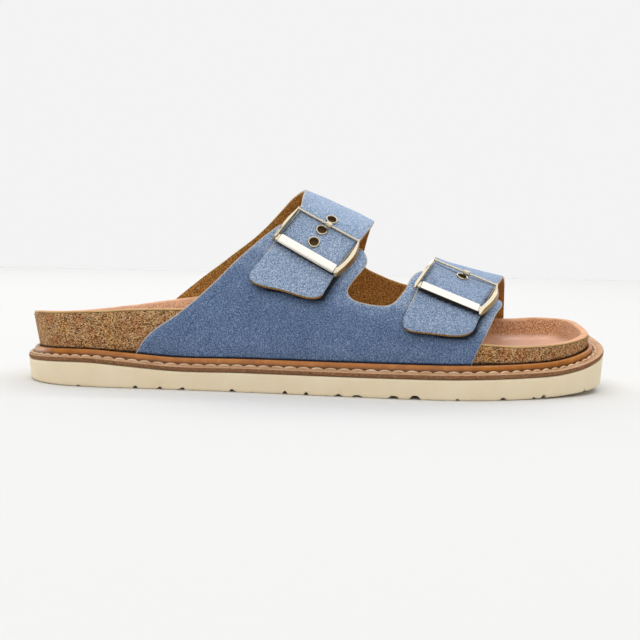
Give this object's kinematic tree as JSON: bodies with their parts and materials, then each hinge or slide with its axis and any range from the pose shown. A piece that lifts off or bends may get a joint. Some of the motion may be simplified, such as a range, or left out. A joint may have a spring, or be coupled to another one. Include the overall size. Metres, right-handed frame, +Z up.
{
  "type": "sandal",
  "caption": "Slip-on suede sandal for the right foot: buckled straps over the instep and toes, contoured cork footbed with a leather insole, stitched welt and pale foam sole.",
  "frame": {"origin": "bottom centre of the bounding box, on the plane that the sole stands on", "axes": "+X to the toe, +Y to the inner side of the foot, +Z up"},
  "size_m": [0.2579, 0.1012, 0.0866],
  "materials": {
    "foam_sole": "matt",
    "welt_leather": "satin",
    "cork": "matt",
    "insole_leather": "satin",
    "suede": "matt",
    "pale_gold": "polished"
  },
  "bodies": {
    "root": {"outsole": "foam_sole", "welt": "welt_leather", "footbed": "cork", "insole": "insole_leather", "upper": "suede", "rear_buckle": "pale_gold", "front_buckle": "pale_gold", "rear_pin": "pale_gold", "front_pin": "pale_gold", "rear_eyelet_1": "pale_gold", "rear_eyelet_2": "pale_gold", "rear_eyelet_3": "pale_gold", "front_eyelet_1": "pale_gold"}
  },
  "joints": []
}
